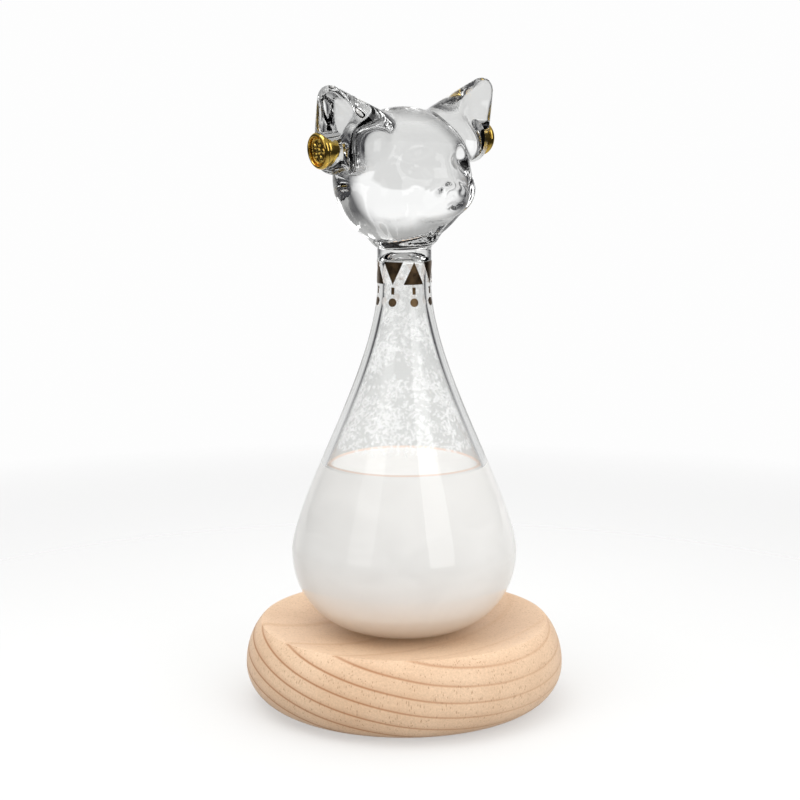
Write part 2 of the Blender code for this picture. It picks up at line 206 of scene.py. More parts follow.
wall = blend_colours(sky, map_range(sky, backward, 0.70, 0.88), DARK_SIDE, WHITE_WALL)
overhead = ramp(sky, upward, [(0.38, 0.0), (0.62, 1.0)])
with_ceiling = blend_colours(sky, overhead, wall, CEILING)
table_top = blend_colours(sky, ramp(sky, backward, [(0.55, 0.0), (0.78, 1.0)]), TABLE_NEAR, TABLE_FAR)
below = ramp(sky, upward, [(0.0, 1.0), (0.02, 0.0)])
room = blend_colours(sky, below, with_ceiling, table_top)

fill_height = map_range(sky, upward, 0.0, 1.0, FILL_BELOW, FILL_ABOVE)
fill_side = map_range(sky, rightward, -1.0, 1.0, FILL_LEFT, FILL_RIGHT)
fill = blend_colours(sky, 1.0, fill_height, fill_side, "MULTIPLY")
ray = sky.nodes.new("ShaderNodeLightPath")
is_diffuse = ramp(sky, ray.outputs["Diffuse Depth"], [(0.0, 0.0), (0.9, 1.0)])
lit = blend_colours(sky, is_diffuse, room, fill)
seen_sky = blend_colours(sky, ray.outputs["Is Camera Ray"], lit, BACKDROP)
sky.links.new(seen_sky, sky.nodes["Background"].inputs["Color"])
sky.nodes["Background"].inputs["Strength"].default_value = 1.0
bpy.context.scene.view_settings.view_transform = "Standard"
print("world nodes", len(sky.nodes))


# %% Floor: pale, and fading out round the base
def new_material(name, **values):
    """A Principled material and its node tree, with the shader's own sockets set by name."""
    made = bpy.data.materials.new(name)
    made.use_nodes = True
    shader = made.node_tree.nodes["Principled BSDF"]
    for socket, value in values.items():
        shader.inputs[socket.replace("_", " ")].default_value = value
    return made, made.node_tree, shader


def mesh_from(name, shape):
    """The finished mesh of a bmesh, which is freed."""
    mesh = bpy.data.meshes.new(name)
    shape.to_mesh(mesh)
    shape.free()
    return mesh


def scratch(name, mesh):
    """A plain object for a mesh, linked into the scene."""
    made = bpy.data.objects.new(name, mesh)
    bpy.context.scene.collection.objects.link(made)
    return made


FLOOR_RADIUS = 550.0 * MM
FLOOR_FADE = [(0.08, 0.55), (0.30, 0.0)]        # metres from the middle, and how much floor shows


def floor_material():
    made, tree, shader = new_material(
        "studio_floor", Base_Color=(0.66, 0.66, 0.655, 1.0), Roughness=0.9, Specular_IOR_Level=0.1
    )
    place = tree.nodes.new("ShaderNodeTexCoord")
    away = tree.nodes.new("ShaderNodeVectorMath")
    away.operation = "LENGTH"
    tree.links.new(place.outputs["Object"], away.inputs[0])
    tree.links.new(ramp(tree, away.outputs["Value"], FLOOR_FADE), shader.inputs["Alpha"])
    return made


floor_shape = bmesh.new()
bmesh.ops.create_circle(floor_shape, cap_ends=True, segments=96, radius=FLOOR_RADIUS)
floor = scratch("floor", mesh_from("floor", floor_shape))
floor.data.materials.append(floor_material())
print("floor", round(2 * FLOOR_RADIUS, 2), "m across")


# %% Soft boxes
def soft_box(name, turn, distance, height, size, watts, aim_z):
    """A rectangular lamp, turned round the glass from the camera. The glass sees it, the camera doesn't."""
    data = bpy.data.lights.new(name, "AREA")
    data.shape = "RECTANGLE"
    data.size, data.size_y = size
    data.energy = watts
    lamp = bpy.data.objects.new(name, data)
    lamp.location = around(CAMERA_YAW + math.radians(turn), distance, height)
    aim = Vector((0.0, 0.0, aim_z)) - lamp.location
    lamp.rotation_euler = aim.to_track_quat("-Z", "Y").to_euler()
    lamp.visible_camera = False
    bpy.context.scene.collection.objects.link(lamp)


soft_box("left_strip", -46, 0.95, 0.50, (0.50, 0.85), 1.1, 0.10)
soft_box("right_strip", 39, 0.95, 0.50, (0.50, 0.85), 2.4, 0.10)
soft_box("top_light", -60, 0.40, 1.00, (0.60, 0.60), 3.0, 0.08)

# %% [markdown]
# ## How each piece is made
#
# Most pieces here are turned or blown, so they are surfaces of revolution. A section is drawn as a list of
# radius and height, and every point of it is spun into a ring. A piece keeps its place in its mesh and its
# object at the origin, so a pattern that reads Object coordinates stays put when the piece moves.


# %% Helpers that make meshes
ON_AXIS = 1e-7      # a smaller radius is a point on the axis


def new_piece(name, mesh, body, replaced=(), material=None):
    """An object for a finished mesh. It rides on its body and stands for the frame's own nodes."""
    piece = scratch(name, mesh)
    if material:
        mesh.materials.clear()
        mesh.materials.append(material)
    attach(piece, body)
    if replaced:
        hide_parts(*replaced)
    return piece


def smooth(mesh, angle=40.0):
    """Smooth shading that keeps the edges sharper than the angle."""
    mesh.shade_smooth()
    mesh.set_sharp_from_angle(angle=math.radians(angle))


def spread(first, last, steps):
    """Evenly spaced numbers from first to last, both included."""
    return [first + (last - first) * i / steps for i in range(steps + 1)]


def ring(shape, radius, z, turns):
    """Points round the axis at each of the turns."""
    return [shape.verts.new((radius * math.cos(a), radius * math.sin(a), z)) for a in turns]


def turned_mesh(name, section, steps=ROUND_STEPS, angle=40.0):
    """A solid of revolution. The section runs down the outer side from the axis at the top, round under the
    piece, and back to the axis. A section that closes away from the axis makes a ring."""
    shape = bmesh.new()
    full = spread(0.0, 2 * math.pi, steps)[:-1]
    rings = [ring(shape, radius, z, full if radius > ON_AXIS else [0.0]) for radius, z in section]
    pairs = list(zip(rings, rings[1:]))
    if len(rings[0]) > 1:
        pairs.append((rings[-1], rings[0]))
    for upper, lower in pairs:
        for i in range(steps):
            j = (i + 1) % steps
            walk = ((upper, i), (lower, i), (lower, j), (upper, j))
            corners = list(dict.fromkeys(row[k % len(row)] for row, k in walk))
            if len(corners) > 2:
                shape.faces.new(corners)
    mesh = mesh_from(name, shape)
    smooth(mesh, angle)
    return mesh


def baked(obj):
    """The object's evaluated mesh as a plain mesh. The object itself is removed."""
    seen = bpy.context.evaluated_depsgraph_get()
    mesh = bpy.data.meshes.new_from_object(obj.evaluated_get(seen), depsgraph=seen)
    bpy.data.objects.remove(obj, do_unlink=True)
    return mesh


def arc(centre, radii, start, end, steps, power=2.0):
    """Points on a superellipse from angle start to end, in degrees."""
    points = []
    for angle in map(math.radians, spread(start, end, steps)):
        across = math.copysign(abs(math.cos(angle)) ** (2 / power), math.cos(angle))
        along = math.copysign(abs(math.sin(angle)) ** (2 / power), math.sin(angle))
        points.append((centre[0] + radii[0] * across, centre[1] + radii[1] * along))
    return points


# %% Helpers that make finishes
def bump(tree, shader, height, strength, distance):
    """Relief from a grey output, as deep as the distance."""
    node = add_node(tree, "ShaderNodeBump", Strength=strength, Distance=distance)
    tree.links.new(height, node.inputs["Height"])
    tree.links.new(node.outputs["Normal"], shader.inputs["Normal"])


def placed(tree, rotation=(0, 0, 0), scale=(1, 1, 1)):
    """Object coordinates, turned and stretched."""
    place = tree.nodes.new("ShaderNodeTexCoord")
    mapping = add_node(tree, "ShaderNodeMapping", Rotation=rotation, Scale=scale)
    tree.links.new(place.outputs["Object"], mapping.inputs["Vector"])
    return mapping.outputs["Vector"]


def pattern(tree, kind, vector=None, **inputs):
    """The grey output of a noise or a Voronoi texture, on Object coordinates if no vector is given."""
    node = add_node(tree, f"ShaderNodeTex{kind}", **inputs)
    tree.links.new(placed(tree) if vector is None else vector, node.inputs["Vector"])
    return node.outputs["Distance" if kind == "Voronoi" else "Fac"]


def mottled(name, kind, mottle, colour=(), gloss=(), relief=(), **values):
    """A material whose colour, gloss and relief all follow one pattern. Relief is strength and depth."""
    made, tree, shader = new_material(name, **values)
    grey = pattern(tree, kind, **mottle)
    for socket, stops in (("Base Color", colour), ("Roughness", gloss)):
        if stops:
            tree.links.new(ramp(tree, grey, stops), shader.inputs[socket])
    if relief:
        bump(tree, shader, grey, *relief)
    return made


# %% [markdown]
# ## The beech base
#
# The base is turned on a lathe from a flat-sawn board: a pebble-shaped disc whose widest ring is just under
# half way up, with a wide shallow dish and a crisp crest where the two meet. The growth layers lie almost
# flat in the board and tip a little, so they show as long lines that fall across the side. Between them
# run the short dark flecks of the rays, which beech is known by, and the dish shows them as fine dots.


# %% Beech
LAYER_TIP = 0.17            # rise of the growth layers across the board
LAYER_LEAN = 0.13           # and along it
LAYER_BOW = 0.9             # how much they curve, per metre
LAYER_STEP = 3.3 * MM       # one year's growth
LAYER_WANDER = 1.4 * MM
SAPWOOD, HEARTWOOD = (0.74, 0.530, 0.358), (0.66, 0.450, 0.290)
LATE_WOOD = (0.36, 0.165, 0.07)
RAY_FLECK = (0.30, 0.16, 0.08)


def beech():
    made, tree, shader = new_material("beech", Roughness=0.5, Specular_IOR_Level=0.35)

    def maths(operation, *values):
        node = tree.nodes.new("ShaderNodeMath")
        node.operation = operation
        for socket, value in zip(node.inputs, values):
            if hasattr(value, "links"):
                tree.links.new(value, socket)
            else:
                socket.default_value = value
        return node.outputs[0]

    # the layers are wide cylinders whose axis lies far below the board, tipped towards one side
    board_turn = (0, 0, -CAMERA_YAW)
    place = placed(tree, rotation=board_turn)
    across, along, up = split_xyz(tree, place)
    tipped = maths("ADD", up, maths("MULTIPLY", across, LAYER_TIP))
    bowed = maths("SUBTRACT", tipped, maths("MULTIPLY", maths("MULTIPLY", across, across), LAYER_BOW))
    leaned = maths("SUBTRACT", bowed, maths("MULTIPLY", along, LAYER_LEAN))
    wander = pattern(tree, "Noise", place, Scale=22.0, Detail=2.0)
    depth = maths("ADD", leaned, maths("MULTIPLY", wander, LAYER_WANDER))
    layer = maths("FRACT", maths("DIVIDE", depth, LAYER_STEP))
    stops = [(0.0, 0.75), (0.05, 0.25), (0.35, 0.0), (0.86, 0.05), (0.955, 1.0), (1.0, 0.75)]
    line = ramp(tree, layer, stops)

    body = pattern(tree, "Noise", place, Scale=60.0, Detail=4.0)
    patch = ramp(tree, body, [(0.3, HEARTWOOD), (0.7, SAPWOOD)])
    grain = pattern(tree, "Noise", place, Scale=2400.0, Detail=3.0, Roughness=0.7)
    speck = ramp(tree, grain, [(0.30, 0.80), (0.70, 1.0)])
    ground = blend_colours(tree, 1.0, patch, speck, "MULTIPLY")

    # the lines are bold where the side cuts across the layers, and faint in the dish. Towards the right, as
    # the camera sees it, they fade: painted light for the side the lamps light more
    shape = tree.nodes.new("ShaderNodeNewGeometry")
    facing = split_xyz(tree, shape.outputs["Normal"])
    on_side = ramp(tree, facing["Z"], [(0.55, 1.0), (0.92, 0.22)])
    lit_right_fade = map_range(tree, across, -10.0 * MM, 26.0 * MM, 1.0, 0.35)
    boldness = maths("MULTIPLY", on_side, lit_right_fade)
    lined = blend_colours(tree, maths("MULTIPLY", line, boldness), ground, LATE_WOOD)

    fleck_place = placed(tree, rotation=board_turn, scale=(2600, 2600, 700))
    fleck = pattern(tree, "Voronoi", fleck_place, Scale=1.0, Randomness=1.0)
    dark = ramp(tree, fleck, [(0.0, 1.0), (0.24, 0.7), (0.34, 0.0)])
    sparse = pattern(tree, "Noise", place, Scale=900.0, Detail=1.0)
    flecked = maths("MULTIPLY", dark, ramp(tree, sparse, [(0.50, 0.0), (0.57, 1.0)]))
    shown = blend_colours(tree, maths("MULTIPLY", flecked, 0.7), lined, RAY_FLECK)
    tree.links.new(shown, shader.inputs["Base Color"])
    tree.links.new(ramp(tree, line, [(0.0, 0.50), (1.0, 0.62)]), shader.inputs["Roughness"])
    sunk = maths("ADD", maths("MULTIPLY", line, -0.5), maths("MULTIPLY", flecked, -0.6))
    bump(tree, shader, sunk, 0.25, 0.2 * MM)
    return made


# %% Turn the base
CREST_RADIUS = 31.5 * MM
DISH_DEPTH = 2.4 * MM
DISH_FLOOR_RADIUS = 9.0 * MM
BASE_WIDEST_Z = 8.5 * MM
BASE_FOOT_RADIUS = 26.0 * MM
DISH_CURVE = 1.8            # 1 is a cone, more is flatter in the middle
SIDE_REACH = 9.0 * MM       # how far the rounded side bulges
CREST_EASE = 0.35 * MM      # sandpaper takes the crest's corner off
DISH_STEPS = 24


def base_section():
    floor_z = BASE_HEIGHT - DISH_DEPTH
    run = CREST_RADIUS - DISH_FLOOR_RADIUS
    dish = [(0.0, floor_z)]
    for share in spread(0.0, 1.0, DISH_STEPS):
        dish.append((DISH_FLOOR_RADIUS + run * share, floor_z + DISH_DEPTH * share**DISH_CURVE))
    crest_angle = math.acos((CREST_RADIUS - BASE_RADIUS + SIDE_REACH) / SIDE_REACH)
    rise = (BASE_HEIGHT - BASE_WIDEST_Z) / math.sin(crest_angle)
    centre = (BASE_RADIUS - SIDE_REACH, BASE_WIDEST_Z)
    side = arc(centre, (SIDE_REACH, rise), math.degrees(crest_angle), 0, 24)
    centre = (BASE_FOOT_RADIUS, BASE_WIDEST_Z)
    under = arc(centre, (BASE_RADIUS - BASE_FOOT_RADIUS, BASE_WIDEST_Z), 0, -90, 20)
    crest = [
        (CREST_RADIUS - CREST_EASE, BASE_HEIGHT - 0.35 * CREST_EASE),
        (CREST_RADIUS + 0.3 * CREST_EASE, BASE_HEIGHT - 0.4 * CREST_EASE),
    ]
    return [*dish[:-1], *crest, *side[2:], *under[1:], (0.0, 0.0)]


base_mesh = turned_mesh("turned_base", base_section(), angle=30)
new_piece("turned_base", base_mesh, "base", ["wooden_base"], beech())
print("base faces", len(base_mesh.polygons))

# %% [markdown]
# ## Clear glass
#
# Clear glass is a Principled shader with full transmission and borosilicate's index. Blown glass is never
# flat, so a slow noise moves the surface by a few hundredths of a millimetre. That is enough to bend the
# long reflections a little.


# %% Glass
GLASS_INDEX, LIQUID_INDEX = 1.47, 1.36


def clear_glass(name, index, ripple):
    made, tree, shader = new_material(
        name, Base_Color=(0.99, 0.995, 0.99, 1.0), Roughness=0.0, IOR=index, Transmission_Weight=1.0
    )
    bump(tree, shader, pattern(tree, "Noise", Scale=70.0, Detail=1.0), 0.5, ripple)
    return made


# %% [markdown]
# ## The bottle's outline
#
# One formula gives the shoulder, from the widest ring to the neck, and a superellipse gives the bowl. The
# cavity, the liquid, the frost and the collar are all set off from the same outline, so they always fit.


# %% Outline of the bottle
SHOULDER_START, SHOULDER_TAIL = 1.4, 1.72       # how it leaves the bulb and runs out into the neck


def skin_radius(z):
    share = min(1.0, max(0.0, z - WIDEST_Z) / SHOULDER_HEIGHT)
    return NECK_RADIUS + (BULB_RADIUS - NECK_RADIUS) * (1 - share**SHOULDER_START) ** SHOULDER_TAIL


def inset_radius(z, depth):
    """The radius of a skin that lies that deep inside the outer one."""
    step = 0.1 * MM
    slope = (skin_radius(z + step) - skin_radius(max(z - step, WIDEST_Z))) / (2 * step)
    return skin_radius(z) - depth * math.sqrt(1 + slope**2)


def shoulder(top, bottom, depth, steps):
    return [(inset_radius(z, depth), z) for z in spread(top, bottom, steps)]


def bowl_radius(z, depth):
    drop = min(1.0, max(0.0, WIDEST_Z - z) / (BULB_DROP - depth))
    reach = BULB_RADIUS - BULB_FOOT_RADIUS - depth
    return BULB_FOOT_RADIUS + reach * (1 - drop**BULB_FULLNESS) ** (1 / BULB_FULLNESS)


def bowl(depth, steps):
    reach = BULB_RADIUS - BULB_FOOT_RADIUS - depth
    return arc((BULB_FOOT_RADIUS, WIDEST_Z), (reach, BULB_DROP - depth), 0, -90, steps, BULB_FULLNESS)[1:]


PUNT_RADIUS, PUNT_HEIGHT = 5.4 * MM, 0.9 * MM
FILLER_RADIUS = 3.4 * MM
DOME_HEIGHT = 3.2 * MM      # rounded top of the cavity


def bottle_section():
    """The whole wall in one closed outline: skin, foot, filler hole, and the cavity with its domed top."""
    skin = [(0.0, JOINT_Z), *shoulder(JOINT_Z, WIDEST_Z, 0.0, 90), *bowl(0.0, 40)]
    hole = [(PUNT_RADIUS, FOOT_Z + PUNT_HEIGHT), (FILLER_RADIUS, FOOT_Z + PUNT_HEIGHT)]
    dome_z = JOINT_Z - WALL - DOME_HEIGHT
    dome = arc((0.0, dome_z), (inset_radius(dome_z, WALL), DOME_HEIGHT), 90, 0, 12)
    lining = [*dome, *shoulder(dome_z, WIDEST_Z, WALL, 80)[1:], *bowl(WALL, 36)]
    return [*skin, *hole, (FILLER_RADIUS, FOOT_Z + WALL), *reversed(lining)]


bottle_mesh = turned_mesh("bottle_wall", bottle_section(), angle=50)
print("bottle faces", len(bottle_mesh.polygons))

# %% [markdown]
# ## The cat's head
#
# A lampworker gathers clear glass on the neck, presses a muzzle and two eye hollows, and pulls the ears out
# with tweezers. The same order works here. Rough lumps are thrown together and melted into one skin by a
# voxel remesh, fire-polished by smoothing, and then tooled: each tool mark pushes the skin along a
# direction, strongest in its middle and fading to nothing.


# %% Rough lumps of the head
def lump(shape, centre, radii, segments=40):
    """Adds an ellipsoid, with its centre and radii in millimetres from the middle of the head."""
    place = Matrix.Translation(Vector(centre) * MM + Vector((0, 0, HEAD_Z)))
    place = place @ Matrix.Diagonal((*[r * MM for r in radii], 1.0))
    bmesh.ops.create_uvsphere(shape, u_segments=segments, v_segments=segments // 2, radius=1.0, matrix=place)


def mirrored(vector, side):
    return (side * vector[0], *vector[1:])


# a centre and three radii each
MIDDLE_LUMPS = {
    "muzzle": ((0, -7.6, -4.2), (8.4, 9.0, 6.0)),
    "bridge of the nose": ((0, -10.6, 0.6), (2.6, 4.0, 6.6)),
    "throat": ((0, 0, -13.0), (7.6, 7.6, 2.9)),
}
SIDE_LUMPS = {
    "cheek": ((7.5, -5.0, -3.0), (6.6, 7.0, 6.4)),
    "temple": ((12.5, -1.8, 7.0), (6.6, 7.0, 6.6)),
    "root of the ear": ((8.4, -2.0, 9.4), (5.2, 5.6, 4.8)),
    "body of the ear": ((15.2, -1.4, 8.6), (5.0, 4.4, 5.6)),
}
EAR_CORNERS = {
    "crown": ((9.3, -2.0, 10.5), (4.2, 5.8, 4.0)),
    "tip": ((21.9, -2.8, 17.4), (2.9, 2.3, 2.9)),
    "lobe": ((19.7, -0.8, 6.2), (4.0, 4.4, 4.6)),
}


def ear_blade(shape, side):
    """Adds one ear: the hull round its three corners. The lobe carries the stud."""
    blade = bmesh.new()
    for centre, radii in EAR_CORNERS.values():
        lump(blade, mirrored(centre, side), radii, segments=24)
    bmesh.ops.delete(blade, geom=blade.edges[:], context="EDGES_FACES")
    hull = bmesh.ops.convex_hull(blade, input=blade.verts[:])
    bmesh.ops.delete(blade, geom=hull["geom_interior"], context="VERTS")
    bmesh.ops.recalc_face_normals(blade, faces=blade.faces[:])
    spare = mesh_from("blade", blade)
    shape.from_mesh(spare)
    bpy.data.meshes.remove(spare)


def rough_head():
    shape = bmesh.new()
    lump(shape, (0, 0, 0), (15.6, 14.0, 14.9), segments=64)
    for centre, radii in MIDDLE_LUMPS.values():
        lump(shape, centre, radii)
    for side in (-1, 1):
        for centre, radii in SIDE_LUMPS.values():
            lump(shape, mirrored(centre, side), radii)
        ear_blade(shape, side)
    bmesh.ops.create_cone(
        shape,
        cap_ends=True,
        segments=64,
        radius1=NECK_RADIUS - 0.4 * MM,
        radius2=1.35 * NECK_RADIUS,
        depth=8 * MM,
        matrix=Matrix.Translation((0, 0, JOINT_Z + 2.2 * MM)),
    )
    return mesh_from("head", shape)


def melted(mesh, voxel, passes):
    """One skin round all the lumps, smoothed as a flame would."""
    obj = scratch("melting", mesh)
    melt = obj.modifiers.new("melt", "REMESH")
    melt.mode = "VOXEL"
    melt.voxel_size = voxel
    polish = obj.modifiers.new("polish", "SMOOTH")
    polish.factor = 0.5
    polish.iterations = passes
    return baked(obj)


HEAD_VOXEL, HEAD_POLISH = 0.45 * MM, 26
head_mesh = melted(rough_head(), HEAD_VOXEL, HEAD_POLISH)
print("head faces", len(head_mesh.polygons))


# %% Tool marks on the head
HEAD_ROLL = math.radians(-2.5)      # the head sits a little crooked, as handwork does
FLUTES, FLUTE_DEPTH = 26, 0.07      # pulled lines round the chin, and their depth in millimetres

# where the tool meets the skin, how it pushes, and how far its push reaches
SIDE_MARKS = {
    "eye hollow": ((6.0, -13.0, 3.4), (0, 2.4, -0.3), (3.6, 4.0, 2.4)),
    "brow": ((6.2, -13.0, 6.6), (0, -0.7, 0.4), (3.8, 4.0, 1.6)),
    "whisker pad": ((3.0, -16.0, -3.2), (0.3, -0.7, 0), (2.4, 3.0, 2.2)),
    "hollow of the ear": ((17.2, -7.0, 12.2), (0, 2.4, 0), (4.2, 3.6, 5.0)),
    "under the ear": ((15.0, -3.0, 0.0), (-0.8, 0.4, 0), (3.0, 5.0, 4.0)),
}
MIDDLE_MARKS = {
    "nose tip": ((0, -17.0, -0.6), (0, -0.8, 0.2), (1.6, 2.6, 1.4)),
    "mouth": ((0, -17.0, -5.4), (0, 1.3, 0), (2.8, 2.6, 0.8)),
    "under the chin": ((0, -10.0, -10.0), (0, 0.8, 0.6), (6.0, 5.0, 3.0)),
}


def head_frame():
    """The head's tilt, about the middle of its joint with the neck."""
    joint = Vector((0.0, 0.0, JOINT_Z))
    return Matrix.Translation(joint) @ Matrix.Rotation(HEAD_ROLL, 4, "Y") @ Matrix.Translation(-joint)


def tool(points, middle, push, reach):
    """Pushes the points near middle along push, all in millimetres."""
    away = ((points - np.array(middle, float)) / np.array(reach, float)) ** 2
    share = np.exp(-away.sum(axis=1))
    points += share[:, None] * np.array(push, float)


def tooled(mesh):
    count = len(mesh.vertices)
    flat = np.empty(count * 3)
    mesh.vertices.foreach_get("co", flat)
    points = (flat.reshape(count, 3) - np.array([0, 0, HEAD_Z])) / MM
    for side in (-1, 1):
        for mark in SIDE_MARKS.values():
            tool(points, mirrored(mark[0], side), mirrored(mark[1], side), mark[2])
    for mark in MIDDLE_MARKS.values():
        tool(points, *mark)
    around_axis = np.arctan2(points[:, 1], points[:, 0])
    waves = np.sin(FLUTES * around_axis + 2.5 * np.sin(3 * around_axis))
    flutes = FLUTE_DEPTH * waves * np.exp(-(((points[:, 2] + 9.0) / 4.0) ** 2))
    out = np.maximum(np.hypot(points[:, 0], points[:, 1]), 3.0)
    points[:, :2] *= 1 + flutes[:, None] / out[:, None]
    points = points * MM + np.array([0, 0, HEAD_Z])
    mesh.vertices.foreach_set("co", points.ravel())
    mesh.transform(head_frame())
    mesh.update()
    return mesh


head_mesh = tooled(head_mesh)
print("head tilted by", round(math.degrees(HEAD_ROLL), 1), "degrees")


# %% Fuse the head to the bottle
STUD_SWEEP, STUD_DROOP = math.radians(7.5), math.radians(5.0)       # how far back and down a stud faces
SEAT_GAP = 0.05 * MM
SEAT_REACH = 4.0 * MM       # the cutter runs on this far past the stud's face


def stud_frame(side):
    """The stud's outer face: where it is, with +Z pointing out of it."""
    word = "left" if side > 0 else "right"
    lowest, highest = Vector(low(f"earring_cup_{word}")), Vector(high(f"earring_cup_{word}"))
    middle = (lowest + highest) / 2
    outward = Vector((side * math.cos(STUD_SWEEP), math.sin(STUD_SWEEP), -math.sin(STUD_DROOP))).normalized()
    outward.rotate(Matrix.Rotation(HEAD_ROLL, 3, "Y"))
    place = middle + outward * STUD_LENGTH / 2
    return Matrix.Translation(place) @ outward.to_track_quat("Z", "Y").to_matrix().to_4x4()


def fused(head, bottle):
    """The union of head and bottle, with a seat cut in each ear for its stud."""
    whole = scratch("blown_glass", bottle)
    others = [scratch("head", head)]
    joins = [("UNION", others[0])]
    for side in (-1, 1):
        seat = bmesh.new()
        middle = Matrix.Translation((0, 0, (SEAT_REACH - STUD_LENGTH - SEAT_GAP) / 2))
        bmesh.ops.create_cone(
            seat,
            cap_ends=True,
            segments=64,
            radius1=STUD_RADIUS + SEAT_GAP,
            radius2=STUD_RADIUS + SEAT_GAP,
            depth=STUD_LENGTH + SEAT_GAP + SEAT_REACH,
            matrix=stud_frame(side) @ middle,
        )
        others.append(scratch("seat", mesh_from("seat", seat)))
        joins.append(("DIFFERENCE", others[-1]))
    for operation, other in joins:
        boolean = whole.modifiers.new(operation.lower(), "BOOLEAN")
        boolean.operation = operation
        boolean.solver = "EXACT"
        boolean.object = other
    mesh = baked(whole)
    for other in others:
        bpy.data.objects.remove(other, do_unlink=True)
    smooth(mesh, 45)
    return mesh


glass_mesh = fused(head_mesh, bottle_mesh)
skin = clear_glass("blown_glass", GLASS_INDEX, 0.12 * MM)
glass = new_piece("blown_glass", glass_mesh, "bottle", ["glass_bottle", "glass_head"], skin)
glass.visible_diffuse = False       # diffuse light passes it as it passes air
print("glass faces", len(glass_mesh.polygons))

# %% [markdown]
# Where liquid touches the wall, light passes from glass to liquid and never meets air. Those faces of the
# cavity get their own material, whose index is the glass's over the liquid's. It is what makes a filled
# bottle look full right out to its edge.

# %% Wet part of the wall
glass_mesh.materials.append(clear_glass("wet_wall", GLASS_INDEX / LIQUID_INDEX, 0.02 * MM))


def is_wet(face):
    """True for a face of the cavity below the liquid's surface: well inside the skin, facing the axis."""
    x, y, z = face.center
    skin_at = skin_radius(z) if z > WIDEST_Z else bowl_radius(z, 0.0)
    inside = math.hypot(x, y) < skin_at - 0.6 * WALL
    facing_axis = face.normal.x * x + face.normal.y * y <= 0
    return FOOT_Z + 0.5 * WALL < z < LEVEL_Z and inside and facing_axis


wetted = [face for face in glass_mesh.polygons if is_wet(face)]
for face in wetted:
    face.material_index = 1
print("wet faces", len(wetted))

# %% [markdown]
# ## Storm liquid
#
# Camphor that has come out of solution makes the liquid milky: it lets light through but no picture. A
# pale surface with a little rough transmission gives that, and its colour drifts slightly, as the suspended
# crystals do. At the top it climbs the wall in a thin meniscus, along which the colour is tinted warm. At
# the bottom it wraps the bed of crystals in a film.


# %% Milky liquid
MENISCUS_CLIMB, MENISCUS_WIDTH = 0.5 * MM, 1.6 * MM
MILK_DARK, MILK_LIGHT = (0.915, 0.90, 0.88), (0.965, 0.95, 0.93)
MENISCUS_TINT = (0.93, 0.76, 0.66)


def milky_liquid():
    made, tree, shader = new_material("milky_liquid", Roughness=0.6, IOR=1.1, Transmission_Weight=0.2)
    stretched = placed(tree, scale=(1.0, 1.0, 1.8))
    cloud = pattern(tree, "Noise", stretched, Scale=70.0, Detail=5.0, Distortion=1.2)
    milk = ramp(tree, cloud, [(0.35, MILK_DARK), (0.62, MILK_LIGHT)])
    height = split_xyz(tree, placed(tree))["Z"]
    near_level = map_range(tree, height, LEVEL_Z - 0.5 * MM, LEVEL_Z + 0.5 * MM)
    edge = ramp(tree, near_level, [(0.55, 0.0), (0.66, 1.0), (0.95, 0.6)])
    tree.links.new(blend_colours(tree, edge, milk, MENISCUS_TINT), shader.inputs["Base Color"])
    bump(tree, shader, cloud, 0.2, 0.3 * MM)
    return made


# %% The liquid's shape
LIQUID_GAP = 0.06 * MM      # between the liquid and the wall
BED_FILM = 0.6 * MM         # liquid between the bed and the wall


def liquid_mesh():
    depth = WALL + LIQUID_GAP
    floor_z = FOOT_Z + depth
    rim = inset_radius(LEVEL_Z + MENISCUS_CLIMB, depth)
    meniscus = []
    for share in (1.0, 0.7, 0.45, 0.25, 0.1, 0.0):
        climb = MENISCUS_CLIMB * (1 - share) ** 3 * 0.9
        meniscus.append((rim - MENISCUS_WIDTH * share, LEVEL_Z + climb))
    side = [(bowl_radius(z, depth), z) for z in spread(WIDEST_Z, floor_z, 16)[1:]]
    over_bed = [(bowl_radius(z, depth + BED_FILM), z) for z in spread(floor_z, BED_Z, 10)[1:]]
    upper = [(0.0, LEVEL_Z), *meniscus, *shoulder(LEVEL_Z, WIDEST_Z, depth, 30)]
    return turned_mesh("milky_liquid", [*upper, *side, *over_bed, (0.0, BED_Z)], angle=40)


new_piece("milky_liquid", liquid_mesh(), "contents", ["storm_liquid"], milky_liquid())
print("liquid level", round(LEVEL_Z / MM, 1), "mm above the floor")

# %% [markdown]
# ## Frost and settled crystals
#
# The crystals grow as little ferns: a spine with pairs of leaflets, all flat and thin. One fern is drawn,
# and Geometry Nodes scatters nearly two thousand of them over the inside of the wall. Noise gathers them
# into drifts, because they grow where others already are. Those that have settled pack into a bed, which
# is turned as one mass and made lumpy by its relief.


# %% One fern of camphor
def fern_mesh():
    """A flat six-sided spine with leaflets, a millimetre long, lying in the XY plane."""
    shape = bmesh.new()

    def blade(start, end, width):
        start, end = Vector(start), Vector(end)
        across = Vector((start.y - end.y, end.x - start.x, 0)).normalized() * width / 2
        middle = start.lerp(end, 0.45)
        ring = [start, middle + across, end, middle - across]
        top = shape.verts.new(middle + Vector((0, 0, width * 0.45)))
        bottom = shape.verts.new(middle - Vector((0, 0, width * 0.45)))
        corners = [shape.verts.new(c) for c in ring]
        for i in range(4):
            j = (i + 1) % 4
            shape.faces.new((corners[j], corners[i], top))
            shape.faces.new((corners[i], corners[j], bottom))

    blade((-0.5, 0, 0), (0.5, 0, 0), 0.10)
    for step in (-0.28, -0.08, 0.12):
        reach = 0.30 - 0.25 * abs(step + 0.1)
        for side in (-1, 1):
            blade((step, 0, 0), (step + reach * 0.7, side * reach, 0), 0.07)
    for v in shape.verts:
        v.co *= MM
    bmesh.ops.recalc_face_normals(shape, faces=shape.faces[:])
    return mesh_from("fern", shape)


